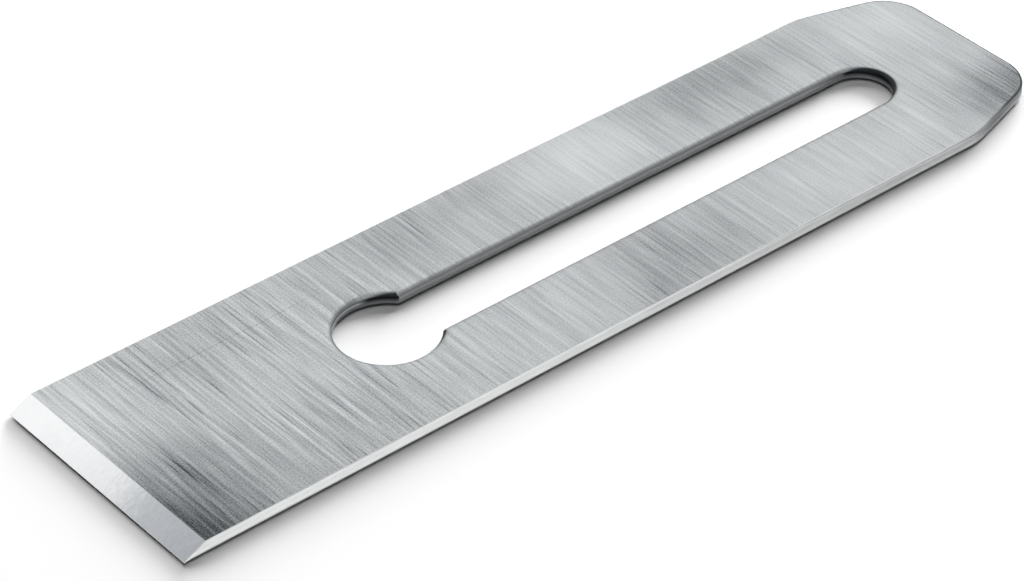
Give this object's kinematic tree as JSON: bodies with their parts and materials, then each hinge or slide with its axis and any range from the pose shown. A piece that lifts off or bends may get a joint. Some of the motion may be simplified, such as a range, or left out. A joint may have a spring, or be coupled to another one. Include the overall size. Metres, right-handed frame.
{
  "type": "plane iron",
  "caption": "Flat steel cutting iron for a bench plane, with a ground bevel at one end, a tapered top end and a keyhole slot.",
  "frame": {"origin": "centre of the flat back, half way from the cutting edge to the top end and on the centre line", "axes": "+X along the iron, from the cutting edge to the tapered top end; +Y across it; +Z out of the bevel-side face, so the iron lies on its flat back with the bevel up"},
  "size_m": [0.182, 0.0444, 0.002],
  "materials": {
    "steel": "tool steel, surface ground with the grain running across the iron, the bevel brighter and ground along the iron"
  },
  "bodies": {
    "root": {"plane_iron": "steel"}
  },
  "joints": []
}
